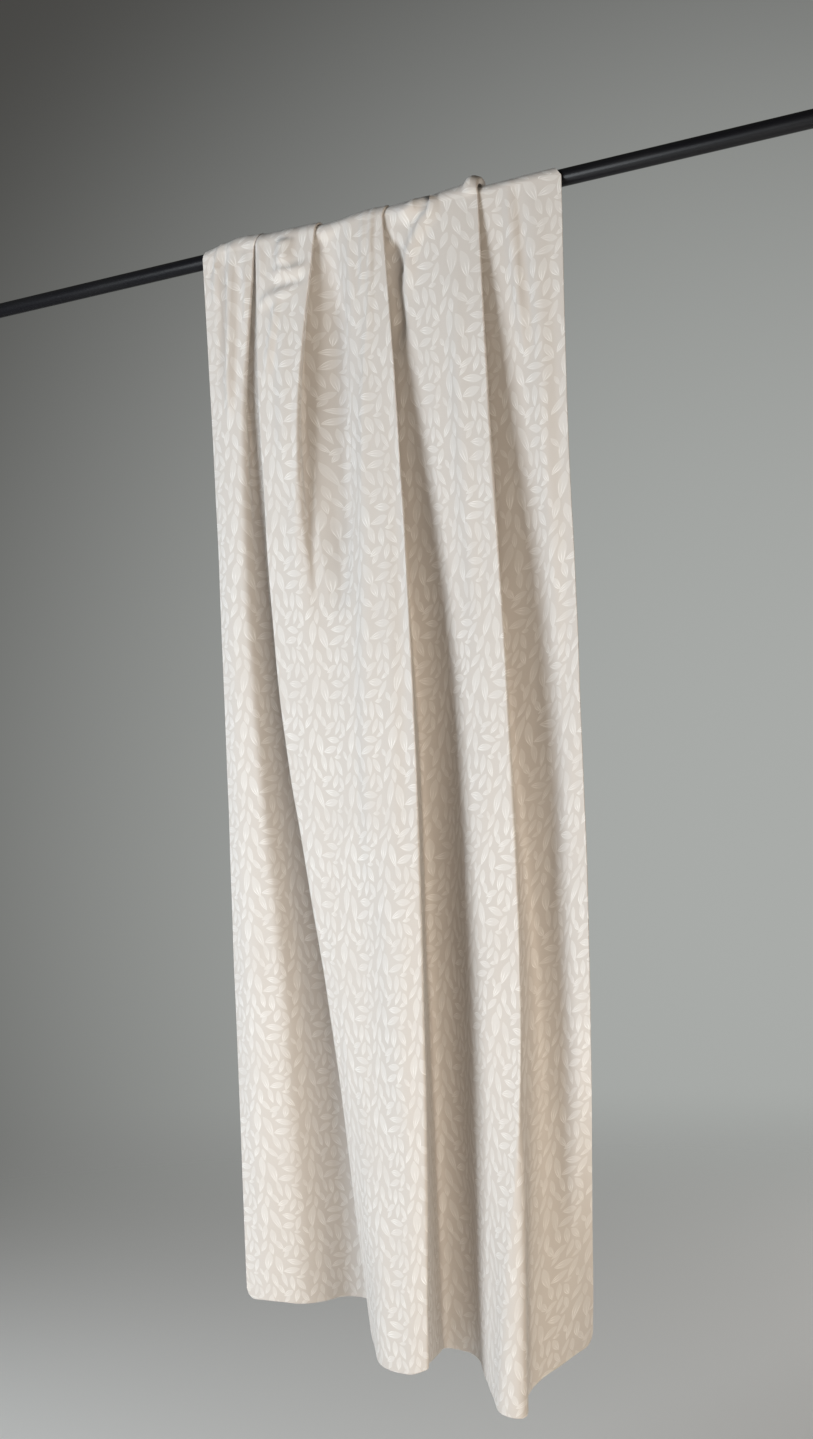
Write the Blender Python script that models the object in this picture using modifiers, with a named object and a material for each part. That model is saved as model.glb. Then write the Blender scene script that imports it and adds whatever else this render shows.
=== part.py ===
"""A curtain laid over a plain round rod: one cloth, folded over the rod in flat pleats that open below.

Units are metres, +Z is up and the curtain's front faces -Y. The origin is the middle of the rod's left
end face, and the rod runs along +X. The cloth is one thin sheet: a long front drop, the turn over the rod
and a shorter back drop. Each row of the sheet is a rounded line through the fold lines of FOLD_LINES,
and the fold lines run from the rod to the hem.
"""

import math
from collections import namedtuple

import bmesh
import bpy

# Sizes of the rod
ROD_DIAMETER = 0.025
ROD_LENGTH = 2.0
ROD_SIDES = 48
ROD_EDGE = 0.001

# Sizes of the cloth
CLOTH_THICKNESS = 0.0014
CLOTH_SEAT_GAP = 0.0003
LAYER_PITCH = 0.0024
TOP_LAYER = 2.0
CLOTH_CENTRE_X = 1.0

# How far down the front drop the table's sections lie, as shares of each fold line's own drop
SECTION_SHARES = (0.0, 0.18, 0.43, 0.71, 1.0)

# Rows of the sheet
FRONT_ROWS = 22
FRONT_ROW_EASE = 1.3
OVER_ROD_ROWS = 8
BACK_ROWS = 13
BACK_ROW_EASE = 1.4

# Where a row crosses the rounded corner at a fold line, as shares of the corner
CORNER_SAMPLES = (0.2, 0.8)

# The back drop hangs in plain waves that open from the same pleats
BACK_DROP = 1.46
BACK_LEFT_TOP_X = -0.349
BACK_RIGHT_TOP_X = 0.288
BACK_LEFT_HEM_X = -0.318
BACK_RIGHT_HEM_X = 0.226
BACK_SPREAD = 0.8
BACK_WAVE_DEPTH = 0.092
BACK_GAP = 0.022
BACK_SPREAD_EASE = 1.2
BACK_DEPTH_EASE = 0.6

MM = 0.001

# One row for each fold line, left to right, in millimetres from the middle of the cloth and from the rod's
# axis. On the rod a fold line has its X, its layer (0 lies on the rod, 2 on top of the pleat) and the
# height of the puff in it. Below the rod it has its X and Y at four sections, and drop is its hem's depth.
FoldLine = namedtuple(
    "FoldLine", "name rod_x layer puff high_x high_y mid_x mid_y low_x low_y hem_x hem_y drop")
FOLD_LINES = [FoldLine(*row) for row in (
    ("left edge",           -353, 0.6, 0, -333, -22, -306, -48, -292, -66, -270, -82, 1634),
    ("left panel",          -300, 2.0, 5, -294, -30, -268, -58, -248, -80, -236, -80, 1650),
    ("left fold",           -244, 2.0, 6, -256, -32, -230, -54, -204, -66, -192, -54, 1651),
    ("left fold under",     -244, 1.0, 6, -250, -24, -222, -40, -186, -38, -164, -22, 1650),
    ("slot left upper",     -279, 1.0, 0, -272, -18, -236, -16, -176, -10, -142, 0, 1650),
    ("slot left lower",     -279, 0.0, 0, -270, -9, -228, -4, -160, 6, -120, 10, 1650),
    ("slot right lower",    -205, 0.0, 0, -196, -9, -168, -4, -116, 6, -84, 12, 1652),
    ("slot right upper",    -205, 1.0, 0, -196, -18, -158, -16, -100, -6, -62, -2, 1655),
    ("tongue edge under",   -240, 1.0, 2, -230, -26, -190, -40, -98, -52, -52, -38, 1660),
    ("tongue edge",         -240, 2.0, 2, -230, -36, -192, -56, -94, -80, -42, -70, 1663),
    ("flap fold",           -121, 2.0, 2, -146, -42, -130, -66, -54, -98, -8, -104, 1676),
    ("flap fold under",     -121, 1.0, 2, -146, -33, -100, -68, -28, -104, 18, -126, 1688),
    ("flap tuck upper",     -141, 1.0, 0, -158, -24, -76, -70, -8, -110, 38, -140, 1691),
    ("flap tuck lower",     -141, 0.0, 0, -152, -14, -52, -74, 12, -116, 56, -148, 1692),
    ("tongue shoulder",      -90, 0.0, 0, -92, -18, -22, -84, 40, -124, 80, -154, 1692),
    ("tongue front",         -56, 2.0, 1, -40, -42, 36, -96, 84, -134, 104, -152, 1690),
    ("tongue fold",           12, 2.0, 4, 52, -52, 102, -100, 128, -134, 118, -138, 1686),
    ("tongue fold under",     12, 1.0, 4, 50, -42, 98, -84, 124, -108, 114, -114, 1682),
    ("tongue tuck upper",    -38, 1.0, 0, 14, -24, 66, -34, 96, -50, 94, -62, 1685),
    ("tongue tuck lower",    -38, 0.0, 0, 16, -12, 64, -12, 86, -10, 86, -28, 1688),
    ("second rise",           40, 0.0, 6, 56, -14, 96, -12, 110, -10, 124, -24, 1691),
    ("second front",         118, 2.0, 8, 140, -36, 180, -56, 182, -60, 168, -66, 1697),
    ("second fold",          187, 2.0, 10, 216, -50, 254, -84, 276, -112, 246, -160, 1722),
    ("second fold under",    187, 1.0, 8, 214, -40, 250, -68, 274, -90, 284, -160, 1724),
    ("second tuck upper",    142, 1.0, 0, 168, -24, 208, -28, 250, -44, 268, -104, 1688),
    ("second tuck lower",    142, 0.0, 0, 170, -12, 206, -10, 244, -10, 270, -72, 1678),
    ("right rise",           225, 0.0, 0, 236, -14, 270, -8, 276, -6, 274, -44, 1676),
    ("right panel",          280, 0.6, 0, 288, -26, 310, -26, 308, -24, 282, -14, 1673),
    ("right edge",           329, 0.6, 0, 332, -26, 342, -34, 340, -36, 294, 16, 1666),
)]

# Finishes: colour, roughness and metallic value
FINISHES = {
    "cream cloth": ((0.62, 0.57, 0.50, 1.0), 0.92, 0.0),
    "black paint": ((0.012, 0.012, 0.014, 1.0), 0.35, 0.0),
}


def clear_scene():
    """Remove every object of the open file."""
    for obj in list(bpy.data.objects):
        bpy.data.objects.remove(obj, do_unlink=True)


def make_finish(name):
    """Make the material of the named finish."""
    colour, roughness, metallic = FINISHES[name]
    material = bpy.data.materials.new(name)
    material.use_nodes = True
    shader = material.node_tree.nodes["Principled BSDF"]
    shader.inputs["Base Color"].default_value = colour
    shader.inputs["Roughness"].default_value = roughness
    shader.inputs["Metallic"].default_value = metallic
    material.diffuse_color = colour
    return material


def smooth_value(shares, values, share):
    """Read a smooth curve through the values, one for each share, at one share."""
    last = len(shares) - 1
    slopes = []
    for index in range(last + 1):
        before = max(index - 1, 0)
        after = min(index + 1, last)
        slopes.append((values[after] - values[before]) / (shares[after] - shares[before]))
    start = max(index for index in range(last) if shares[index] <= share)
    span = shares[start + 1] - shares[start]
    t = (share - shares[start]) / span
    return ((2 * t**3 - 3 * t**2 + 1) * values[start]
            + (t**3 - 2 * t**2 + t) * span * slopes[start]
            + (3 * t**2 - 2 * t**3) * values[start + 1]
            + (t**3 - t**2) * span * slopes[start + 1])


def seat_radius(fold):
    """Distance of a fold line's layer from the rod's axis, with room for the flats between rows."""
    on_rod = ROD_DIAMETER / 2 + CLOTH_SEAT_GAP + CLOTH_THICKNESS / 2
    row_angle = math.pi / OVER_ROD_ROWS
    return on_rod / math.cos(row_angle / 2) + fold.layer * LAYER_PITCH


def front_point(fold, share):
    """Point of a fold line on the front drop, at a share of its length below the rod."""
    across = [value * MM for value in (fold.rod_x, fold.high_x, fold.mid_x, fold.low_x, fold.hem_x)]
    forward = [value * MM for value in (fold.high_y, fold.mid_y, fold.low_y, fold.hem_y)]
    return (smooth_value(SECTION_SHARES, across, share),
            smooth_value(SECTION_SHARES, [-seat_radius(fold)] + forward, share),
            -share * fold.drop * MM)


def back_top_x(fold):
    """X of a fold line where it leaves the rod behind: the right end of the cloth lies askew."""
    left, right = FOLD_LINES[0].rod_x * MM, FOLD_LINES[-1].rod_x * MM
    share = (fold.rod_x * MM - left) / (right - left)
    return BACK_LEFT_TOP_X + share * (BACK_RIGHT_TOP_X - BACK_LEFT_TOP_X)


def over_rod_point(fold, turn):
    """Point of a fold line over the rod: turn is 0 at the front tangent and 1 at the back one."""
    angle = math.pi * turn
    radius = seat_radius(fold) + fold.puff * MM * math.sin(angle)
    front_x = fold.rod_x * MM
    return (front_x + (back_top_x(fold) - front_x) * turn,
            -radius * math.cos(angle),
            radius * math.sin(angle))


def flat_shares():
    """Place of each fold line in the flat cloth, as a share of its width, measured along the pleats."""
    places = [0.0]
    for fold, following in zip(FOLD_LINES, FOLD_LINES[1:]):
        step = math.hypot((following.rod_x - fold.rod_x) * MM, (following.layer - fold.layer) * LAYER_PITCH)
        places.append(places[-1] + step)
    return [place / places[-1] for place in places]


def back_point(fold, flat_share, share):
    """Point of a fold line on the back drop: its pleat opens to a wave whose crest is the top layer."""
    top_x = back_top_x(fold)
    hem_x = BACK_LEFT_HEM_X + flat_share * (BACK_RIGHT_HEM_X - BACK_LEFT_HEM_X)
    depth = BACK_GAP + fold.layer / TOP_LAYER * BACK_WAVE_DEPTH
    return (top_x + (hem_x - top_x) * BACK_SPREAD * share ** BACK_SPREAD_EASE,
            seat_radius(fold) + depth * share ** BACK_DEPTH_EASE,
            -share * BACK_DROP)


def between(start, end, share):
    """Point at a share of the way from start to end."""
    return tuple(a + (b - a) * share for a, b in zip(start, end))


def rounded_row(corners):
    """Round a row's corners: each is a curve whose reach is half of its shorter side."""
    row = [corners[0]]
    for before, corner, after in zip(corners, corners[1:], corners[2:]):
        length_in = math.dist(before, corner)
        length_out = math.dist(corner, after)
        reach = min(length_in, length_out) / 2
        start = between(corner, before, reach / length_in)
        end = between(corner, after, reach / length_out)
        for share in CORNER_SAMPLES:
            row.append(between(between(start, corner, share), between(corner, end, share), share))
    row.append(corners[-1])
    return row


def cloth_rows():
    """List the sheet's rows from the front hem over the rod to the back hem."""
    shares = flat_shares()
    rows = []
    for index in range(FRONT_ROWS, 0, -1):
        share = (index / FRONT_ROWS) ** FRONT_ROW_EASE
        rows.append(rounded_row([front_point(fold, share) for fold in FOLD_LINES]))
    for index in range(OVER_ROD_ROWS + 1):
        turn = index / OVER_ROD_ROWS
        rows.append(rounded_row([over_rod_point(fold, turn) for fold in FOLD_LINES]))
    for index in range(1, BACK_ROWS + 1):
        share = (index / BACK_ROWS) ** BACK_ROW_EASE
        corners = [back_point(fold, flat, share) for fold, flat in zip(FOLD_LINES, shares)]
        rows.append(rounded_row(corners))
    return rows


def make_cloth(collection):
    """Make the cloth: one open sheet through the rows, given its thickness by Solidify."""
    rows = cloth_rows()
    mesh = bpy.data.meshes.new("curtain_cloth")
    sheet = bmesh.new()
    points = [[sheet.verts.new((x + CLOTH_CENTRE_X, y, z)) for x, y, z in row] for row in rows]
    for lower, upper in zip(points, points[1:]):
        for column in range(len(lower) - 1):
            sheet.faces.new((lower[column], lower[column + 1], upper[column + 1], upper[column]))
    sheet.to_mesh(mesh)
    sheet.free()
    cloth = bpy.data.objects.new("curtain_cloth", mesh)
    collection.objects.link(cloth)
    mesh.materials.append(make_finish("cream cloth"))
    mesh.shade_smooth()
    solidify = cloth.modifiers.new("thickness", "SOLIDIFY")
    solidify.thickness = CLOTH_THICKNESS
    solidify.offset = 0.0
    return cloth


def make_rod(collection):
    """Make the rod: one plain cylinder with slightly eased end edges."""
    bpy.ops.mesh.primitive_cylinder_add(
        vertices=ROD_SIDES, radius=ROD_DIAMETER / 2, depth=ROD_LENGTH, end_fill_type="NGON",
        location=(ROD_LENGTH / 2, 0.0, 0.0), rotation=(0.0, math.pi / 2, 0.0))
    rod = bpy.context.active_object
    rod.name = "rod"
    rod.data.name = "rod"
    for owner in list(rod.users_collection):
        owner.objects.unlink(rod)
    collection.objects.link(rod)
    rod.data.materials.append(make_finish("black paint"))
    rod.data.shade_smooth()
    rod.data.set_sharp_from_angle(angle=math.radians(40))
    edge = rod.modifiers.new("eased edge", "BEVEL")
    edge.width = ROD_EDGE
    edge.segments = 2
    edge.limit_method = "ANGLE"
    edge.angle_limit = math.radians(60)
    return rod


def main():
    """Build the curtain and its rod in one collection."""
    clear_scene()
    collection = bpy.data.collections.new("curtain on a rod")
    bpy.context.scene.collection.children.link(collection)
    make_rod(collection)
    make_cloth(collection)


main()
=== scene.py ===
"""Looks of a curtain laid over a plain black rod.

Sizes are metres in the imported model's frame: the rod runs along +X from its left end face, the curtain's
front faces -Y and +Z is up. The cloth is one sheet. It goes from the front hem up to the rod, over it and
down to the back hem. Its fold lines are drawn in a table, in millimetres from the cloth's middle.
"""

import logging
import math
from dataclasses import dataclass
from enum import Enum
from typing import Any, Sequence, Union

import bmesh
import bpy
import numpy as np
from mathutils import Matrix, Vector, noise


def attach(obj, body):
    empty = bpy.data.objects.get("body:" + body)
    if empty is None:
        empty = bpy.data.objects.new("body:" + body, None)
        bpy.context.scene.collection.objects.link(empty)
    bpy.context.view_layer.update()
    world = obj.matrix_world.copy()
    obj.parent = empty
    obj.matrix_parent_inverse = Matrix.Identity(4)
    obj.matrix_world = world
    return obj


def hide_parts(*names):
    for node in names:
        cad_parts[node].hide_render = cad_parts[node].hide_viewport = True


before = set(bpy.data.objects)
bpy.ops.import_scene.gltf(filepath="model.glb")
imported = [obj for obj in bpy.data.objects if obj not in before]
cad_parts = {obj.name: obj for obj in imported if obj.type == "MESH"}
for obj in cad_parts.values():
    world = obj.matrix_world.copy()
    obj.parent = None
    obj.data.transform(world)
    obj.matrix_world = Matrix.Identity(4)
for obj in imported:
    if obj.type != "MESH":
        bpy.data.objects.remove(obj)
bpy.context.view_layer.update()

MM = 0.001
LOG = logging.getLogger("curtain")

Pair = tuple[float, float]
Triple = tuple[float, float, float]


class Slot(Enum):
    """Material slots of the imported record."""

    CLOTH = "cloth"
    ROD = "rod"


class Turn(Enum):
    """How softly the cloth turns at a fold line: the share of each side that the turn takes up."""

    CRISP = 0.0
    EASY = 0.45
    ROUND = 1.0


class Relief(Enum):
    """Which way a crease stands: in from the cloth's face, or out of it."""

    TROUGH = -1.0
    RIDGE = 1.0


# shader tools

Value = Union["Shade", float]


class Shade:
    """Wraps one output socket, so that maths on it adds Math nodes to its tree."""

    def __init__(self, bench: "NodeBench", socket: bpy.types.NodeSocket) -> None:
        """Keep the socket and the bench that it belongs to."""
        self.bench = bench
        self.socket = socket

    def math(self, operation: str, *values: Value, clamp: bool = False) -> "Shade":
        """Make one Math node of this value and the others.

        Args:
            operation: Name of the Math node's operation.
            values: The further values, in the order of the node's sockets.
            clamp: Whether the result is kept between 0 and 1.

        Returns:
            The node's result.
        """
        settings = {"operation": operation, "use_clamp": clamp}
        return self.bench.node("ShaderNodeMath", settings, dict(enumerate((self, *values))))

    def __add__(self, other: Value) -> "Shade":
        """Add a value."""
        return self.math("ADD", other)

    __radd__ = __add__

    def __mul__(self, other: Value) -> "Shade":
        """Multiply by a value."""
        return self.math("MULTIPLY", other)

    __rmul__ = __mul__

    def __sub__(self, other: Value) -> "Shade":
        """Take a value away."""
        return self.math("SUBTRACT", other)

    def __rsub__(self, other: float) -> "Shade":
        """Take this away from a number."""
        return self.bench.node("ShaderNodeMath", {"operation": "SUBTRACT"}, {0: other, 1: self})

    def __truediv__(self, other: Value) -> "Shade":
        """Divide by a value."""
        return self.math("DIVIDE", other)

    def step(self, low: float, high: float) -> "Shade":
        """Rise smoothly from 0 at low to 1 at high."""
        return self.bench.node("ShaderNodeMapRange", {"interpolation_type": "SMOOTHSTEP"},
                               {"Value": self, "From Min": low, "From Max": high})

    def lifted(self, least: float) -> "Shade":
        """Squeeze a value from 0 to 1 into the part above the least."""
        return self * (1.0 - least) + least


class NodeBench:
    """Makes nodes in one node tree and links them."""

    def __init__(self, tree: bpy.types.NodeTree) -> None:
        """Keep the tree that the nodes go into."""
        self.tree = tree

    def node(self, kind: str, settings: dict[str, Any], inputs: dict[Any, Any],
             output: Any = 0) -> Shade:
        """Make any node.

        Args:
            kind: The node's type.
            settings: Its settings, set before its sockets.
            inputs: Values or links, by the name or the number of the socket.
            output: Name or number of the output that is used.

        Returns:
            The wrapped output.
        """
        made = self.tree.nodes.new(kind)
        for name, setting in settings.items():
            setattr(made, name, setting)
        self.feed(made, inputs)
        return Shade(self, made.outputs[output])

    def feed(self, node: bpy.types.Node, inputs: dict[Any, Any]) -> None:
        """Give a node's sockets their values or links, by the name or the number of the socket."""
        for key, value in inputs.items():
            if isinstance(value, Shade):
                self.tree.links.new(value.socket, node.inputs[key])
            else:
                node.inputs[key].default_value = value

    def mix(self, factor: Value, first: Any, second: Any) -> Shade:
        """Mix two colours.

        Args:
            factor: Share of the second colour.
            first: A colour or a link.
            second: A colour or a link.

        Returns:
            The mixed colour.
        """
        colours = [value if isinstance(value, Shade) else (*value, 1.0) for value in (first, second)]
        return self.node("ShaderNodeMix", {"data_type": "RGBA"},
                         {0: factor, 6: colours[0], 7: colours[1]}, output=2)

    def vector(self, operation: str, first: Any, second: Any = None, third: Any = None,
               output: Any = 0) -> Shade:
        """Make one Vector Math node of up to three vectors.

        Args:
            operation: Name of the node's operation.
            first: A vector or a link.
            second: A vector or a link, where the operation has it.
            third: A vector or a link, where the operation has it.
            output: Name or number of the output that is used.

        Returns:
            The wrapped output.
        """
        values = {key: value for key, value in enumerate((first, second, third)) if value is not None}
        return self.node("ShaderNodeVectorMath", {"operation": operation}, values, output)

    def noise(self, where: Shade, scale: float, detail: float = 2.0, output: Any = 0) -> Shade:
        """Read a noise texture: its value between 0 and 1, or its colour."""
        inputs = {"Vector": where, "Scale": scale, "Detail": detail}
        return self.node("ShaderNodeTexNoise", {}, inputs, output)

    def bump(self, strength: float, distance: float, height: Shade) -> Shade:
        """Tilt the surface by a height."""
        inputs = {"Strength": strength, "Distance": distance, "Height": height}
        return self.node("ShaderNodeBump", {}, inputs)


def new_material(name: str) -> tuple[bpy.types.Material, NodeBench, bpy.types.Node]:
    """Start a node material.

    Args:
        name: The material's name.

    Returns:
        The material, its bench and its Principled shader.
    """
    material = bpy.data.materials.new(name)
    material.use_nodes = True
    bench = NodeBench(material.node_tree)
    return material, bench, material.node_tree.nodes["Principled BSDF"]


# the cloth's print and finish

@dataclass(frozen=True)
class Leaf:
    """One leaf of the printed repeat, in shares of the repeat's height."""

    across: float
    up: float
    lean: float
    length: float
    width: float


@dataclass(frozen=True)
class LeafPrint:
    """A sprig pattern of narrow leaves, charted for one repeat that tiles the cloth."""

    repeat_width: float = 1.12
    taper: float = -0.20
    middle: float = 0.30
    slimness: float = 0.90
    least_width: float = 0.0001
    line_turns: float = 8.6
    line_start: float = 0.9
    line_edge: Pair = (0.35, 0.90)
    line_reach: Pair = (0.30, -0.50)
    line_inset: Pair = (0.02, 0.14)
    leaves: tuple[Leaf, ...] = tuple(Leaf(*row) for row in (
        (0.16, 0.80, 4, 0.47, 0.20),
        (0.40, 0.70, -22, 0.47, 0.20),
        (0.09, 0.43, 10, 0.34, 0.155),
        (0.29, 0.34, -16, 0.34, 0.155),
        (0.06, 0.13, 30, 0.30, 0.135),
        (0.24, 0.08, -10, 0.27, 0.13),
        (0.42, 0.16, -44, 0.28, 0.13),
        (0.75, 0.82, 96, 0.37, 0.155),
        (0.69, 0.62, 74, 0.38, 0.16),
        (0.96, 0.67, 24, 0.33, 0.145),
        (0.54, 0.38, -22, 0.34, 0.15),
        (0.74, 0.33, -8, 0.35, 0.155),
        (0.93, 0.31, -36, 0.33, 0.145),
        (0.61, 0.09, 62, 0.30, 0.135),
        (0.83, 0.06, 18, 0.30, 0.135),
        (1.00, 0.03, -28, 0.28, 0.125),
        (0.57, 0.97, 42, 0.22, 0.105),
        (0.98, 0.91, 62, 0.20, 0.095),
        (0.90, 0.49, 86, 0.17, 0.085),
        (1.10, 0.53, -30, 0.19, 0.09),
    ))

    def leaf_group(self) -> bpy.types.ShaderNodeTree:
        """Make the node group of one leaf.

        Returns:
            The group. Its depth is 0 at the leaf's edge, 1 along its middle and less than 0 outside. Its
            strokes are 1 along the fine lines near the leaf's lower tip.
        """
        group = bpy.data.node_groups.new("print leaf", "ShaderNodeTree")
        for name in ("Place", "Centre", "Along", "Across"):
            group.interface.new_socket(name=name, in_out="INPUT", socket_type="NodeSocketVector")
        for name in ("Depth", "Strokes"):
            group.interface.new_socket(name=name, in_out="OUTPUT", socket_type="NodeSocketFloat")
        bench = NodeBench(group)
        entry = group.nodes.new("NodeGroupInput")
        place, centre, along, across = (Shade(bench, entry.outputs[index]) for index in range(4))
        half = (self.repeat_width / 2, 0.5, 1.0)
        offset = bench.vector("WRAP", bench.vector("SUBTRACT", place, centre), half,
                              tuple(-value for value in half))
        end = bench.vector("DOT_PRODUCT", offset, along, output=1)
        side = bench.vector("DOT_PRODUCT", offset, across, output=1)
        bulge = (end * end).math("MULTIPLY_ADD", -1.0, 1.0, clamp=True)
        width = bulge.math("MULTIPLY_ADD", end.math("MULTIPLY_ADD", -self.taper, 1.0), self.least_width)
        share = side / width
        right, left = 1.0 / (1.0 - self.middle), 1.0 / (1.0 + self.middle)
        depth = share.math("MULTIPLY_ADD", -right, right).math(
            "MINIMUM", share.math("MULTIPLY_ADD", left, left))
        lines = share.math("MULTIPLY_ADD", self.line_turns, self.line_start).math("COSINE")
        strokes = lines.step(*self.line_edge) * end.step(*self.line_reach) * depth.step(*self.line_inset)
        bench.feed(group.nodes.new("NodeGroupOutput"), {0: depth, 1: strokes})
        return group

    def lay(self, bench: NodeBench, place: Shade) -> tuple[Shade, Shade]:
        """Lay all leaves of the repeat at a place of the cloth.

        Args:
            bench: The bench of the cloth's material.
            place: The place in the print's own coordinates.

        Returns:
            How deep in a leaf the place lies, 0 at its edge and 1 along its middle, and how much of a fine
            line it is on.
        """
        group = self.leaf_group()
        deepest, brightest = None, None
        for leaf in self.leaves:
            lean = math.radians(leaf.lean)
            sine, cosine = math.sin(lean), math.cos(lean)
            width = leaf.width * self.slimness
            depth = bench.node("ShaderNodeGroup", {"node_tree": group}, {
                "Place": place,
                "Centre": (leaf.across, leaf.up, 0.0),
                "Along": (sine * 2 / leaf.length, cosine * 2 / leaf.length, 0.0),
                "Across": (cosine * 2 / width, -sine * 2 / width, 0.0)})
            strokes = Shade(bench, depth.socket.node.outputs[1])
            deepest = depth if deepest is None else deepest.math("MAXIMUM", depth)
            brightest = strokes if brightest is None else brightest.math("MAXIMUM", strokes)
        return deepest, brightest


@dataclass(frozen=True)
class ClothFinish:
    """Matt cream cloth with a slightly lighter print of leaves and a fine plain weave."""

    name: str
    print_strength: float = 1.0
    ground: Triple = (0.555, 0.518, 0.490)
    patch_tone: float = 0.955
    patch_share: float = 0.5
    leaf: Triple = (0.622, 0.596, 0.575)
    leaf_share: float = 0.95
    vein: Triple = (0.86, 0.85, 0.835)
    line_share: float = 0.85
    rim_share: float = 0.30
    thread: Triple = (0.50, 0.44, 0.37)
    thread_share: float = 0.10
    wander_scale: float = 0.9
    wander: Triple = (0.34, 0.22, 0.0)
    body_edge: Pair = (0.0, 0.30)
    rim_rise: Pair = (0.0, 0.10)
    rim_fall: Pair = (0.12, 0.26)
    least_uneven: float = 0.3
    least_fade: float = 0.6
    roughness: float = 0.86
    print_gloss: float = 0.10
    specular: float = 0.22
    sheen: float = 0.12
    sheen_roughness: float = 0.5
    thread_pitch: float = 0.0011
    slub_scales: Pair = (900.0, 60.0)
    weave_share: float = 0.2
    slub_share: float = 0.5
    bump: Pair = (0.12, 0.0006)

    def make(self, leaf_print: LeafPrint) -> bpy.types.Material:
        """Make the material.

        Args:
            leaf_print: The pattern that the cloth carries.

        Returns:
            The cloth's material.
        """
        material, bench, shader = new_material(self.name)
        place = bench.node("ShaderNodeUVMap", {"uv_map": "print"}, {})
        flat = bench.node("ShaderNodeUVMap", {"uv_map": "flat"}, {})
        wander = bench.noise(place, self.wander_scale, 1.0, output="Color")
        bent = bench.vector("MULTIPLY_ADD", wander, self.wander, place)
        depth, lines = leaf_print.lay(bench, bent)
        body = depth.step(*self.body_edge)
        rim = depth.step(*self.rim_rise) * (1.0 - depth.step(*self.rim_fall))
        uneven = bench.noise(place, 4.5, 2.0).step(0.30, 0.70).lifted(self.least_uneven)
        fade = bench.noise(place, 0.9, 3.0).step(0.28, 0.66).lifted(self.least_fade)
        veins = (lines * self.line_share + rim * self.rim_share) * uneven * fade * self.print_strength
        patch = bench.noise(flat, 5.0, 3.0).step(0.25, 0.75)
        darker = tuple(value * self.patch_tone for value in self.ground)
        colour = bench.mix(patch * self.patch_share, self.ground, darker)
        colour = bench.mix(body * fade * self.print_strength * self.leaf_share, colour, self.leaf)
        colour = bench.mix(veins, colour, self.vein)
        threads = self._threads(bench, flat)
        colour = bench.mix(threads.step(0.2, 0.8) * self.thread_share, colour, self.thread)
        bench.feed(shader, {
            "Base Color": colour,
            "Roughness": body * -self.print_gloss + self.roughness,
            "Normal": bench.bump(*self.bump, threads),
            "Specular IOR Level": self.specular,
            "Sheen Weight": self.sheen,
            "Sheen Roughness": self.sheen_roughness})
        return material

    def _threads(self, bench: NodeBench, flat: Shade) -> Shade:
        """Make the weave: slubbed threads both ways, between 0 and 1."""
        across = bench.node("ShaderNodeSeparateXYZ", {}, {0: flat})
        down = Shade(bench, across.socket.node.outputs[1])
        turn = 2 * math.pi / self.thread_pitch
        warp = (across * turn).math("SINE")
        weft = (down * turn).math("SINE")
        fine, coarse = self.slub_scales
        first, second = (bench.noise(bench.vector("MULTIPLY", flat, scales), 1.0, 1.0)
                         for scales in ((fine, coarse, 1.0), (coarse, fine, 1.0)))
        return (warp * weft) * self.weave_share + (first + second) * self.slub_share


@dataclass(frozen=True)
class RodFinish:
    """Black paint with a soft gloss, slightly uneven as sprayed paint is."""

    name: str = "black rod paint"
    colour: Triple = (0.006, 0.006, 0.008)
    dusty: Triple = (0.012, 0.012, 0.013)
    dust_share: float = 0.6
    streak_scales: Triple = (6.0, 90.0, 90.0)
    speck_scale: float = 700.0
    roughness: float = 0.26
    streak_roughness: float = 0.14
    speck_roughness: float = 0.06
    bump: Pair = (0.08, 0.0003)
    coat: float = 0.05
    coat_roughness: float = 0.12
    specular: float = 0.22

    def make(self) -> bpy.types.Material:
        """Make the rod's material."""
        material, bench, shader = new_material(self.name)
        where = bench.node("ShaderNodeTexCoord", {}, {}, output="Object")
        streak = bench.noise(bench.vector("MULTIPLY", where, self.streak_scales), 1.0, 3.0)
        speck = bench.noise(where, self.speck_scale)
        bench.feed(shader, {
            "Base Color": bench.mix(streak.step(0.4, 0.8) * self.dust_share, self.colour, self.dusty),
            "Roughness": streak * self.streak_roughness + speck * self.speck_roughness + self.roughness,
            "Normal": bench.bump(*self.bump, speck * 0.6 + streak * 0.4),
            "Coat Weight": self.coat,
            "Coat Roughness": self.coat_roughness,
            "Specular IOR Level": self.specular})
        return material


# the rod

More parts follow.
